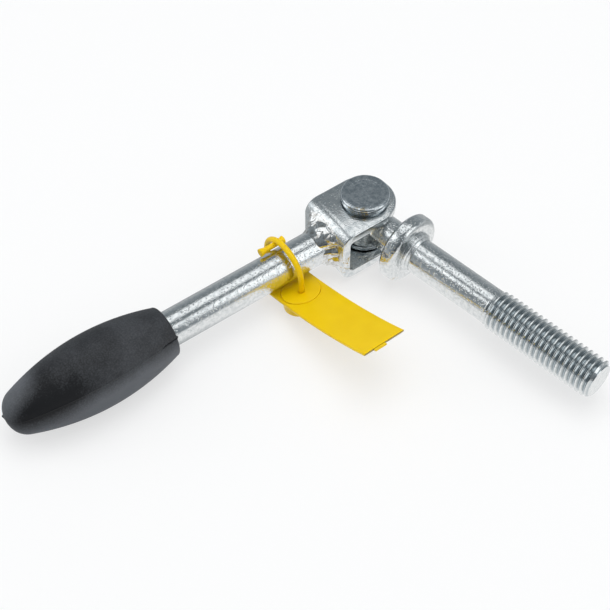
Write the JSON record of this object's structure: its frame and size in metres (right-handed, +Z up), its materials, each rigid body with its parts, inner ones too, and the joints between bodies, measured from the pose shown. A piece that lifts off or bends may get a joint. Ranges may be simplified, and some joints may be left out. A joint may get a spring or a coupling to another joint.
{
  "type": "folding tommy screw",
  "caption": "Eye screw with a thrust collar, hinged in a bent clevis that carries a welded handle rod with a rubber grip and a plain loop tag, for tightening a clamp by hand.",
  "frame": {"origin": "centre of the collar's seat face, on the axis of the screw", "axes": "+X along the screw towards its threaded tip, +Z up along the pivot pin towards its head, +Y to the left of the screw"},
  "size_m": [0.1161, 0.1296, 0.0231],
  "materials": {
    "screw_steel": "bright zinc plate",
    "strip_steel": "bright zinc plate, mottled",
    "pin_steel": "bright zinc plate, turned",
    "rod_steel": "bright zinc plate, drawn bar",
    "weld_steel": "bright zinc plate over a weld bead",
    "grip_rubber": "matte moulded",
    "tag_plastic": "semi-gloss moulded"
  },
  "bodies": {
    "screw": {"screw": "screw_steel"},
    "handle": {"clevis": "strip_steel", "pivot_pin": "pin_steel", "washer": "pin_steel", "handle_rod": "rod_steel", "weld": "weld_steel", "grip": "grip_rubber", "tag": "tag_plastic"}
  },
  "joints": [
    {"name": "handle_fold", "type": "hinge", "parent": "screw", "child": "handle", "pos_m": [-0.0191, 0, 0], "axis": [0, 0, 1], "range_deg": [-188.8, 31.2]}
  ]
}
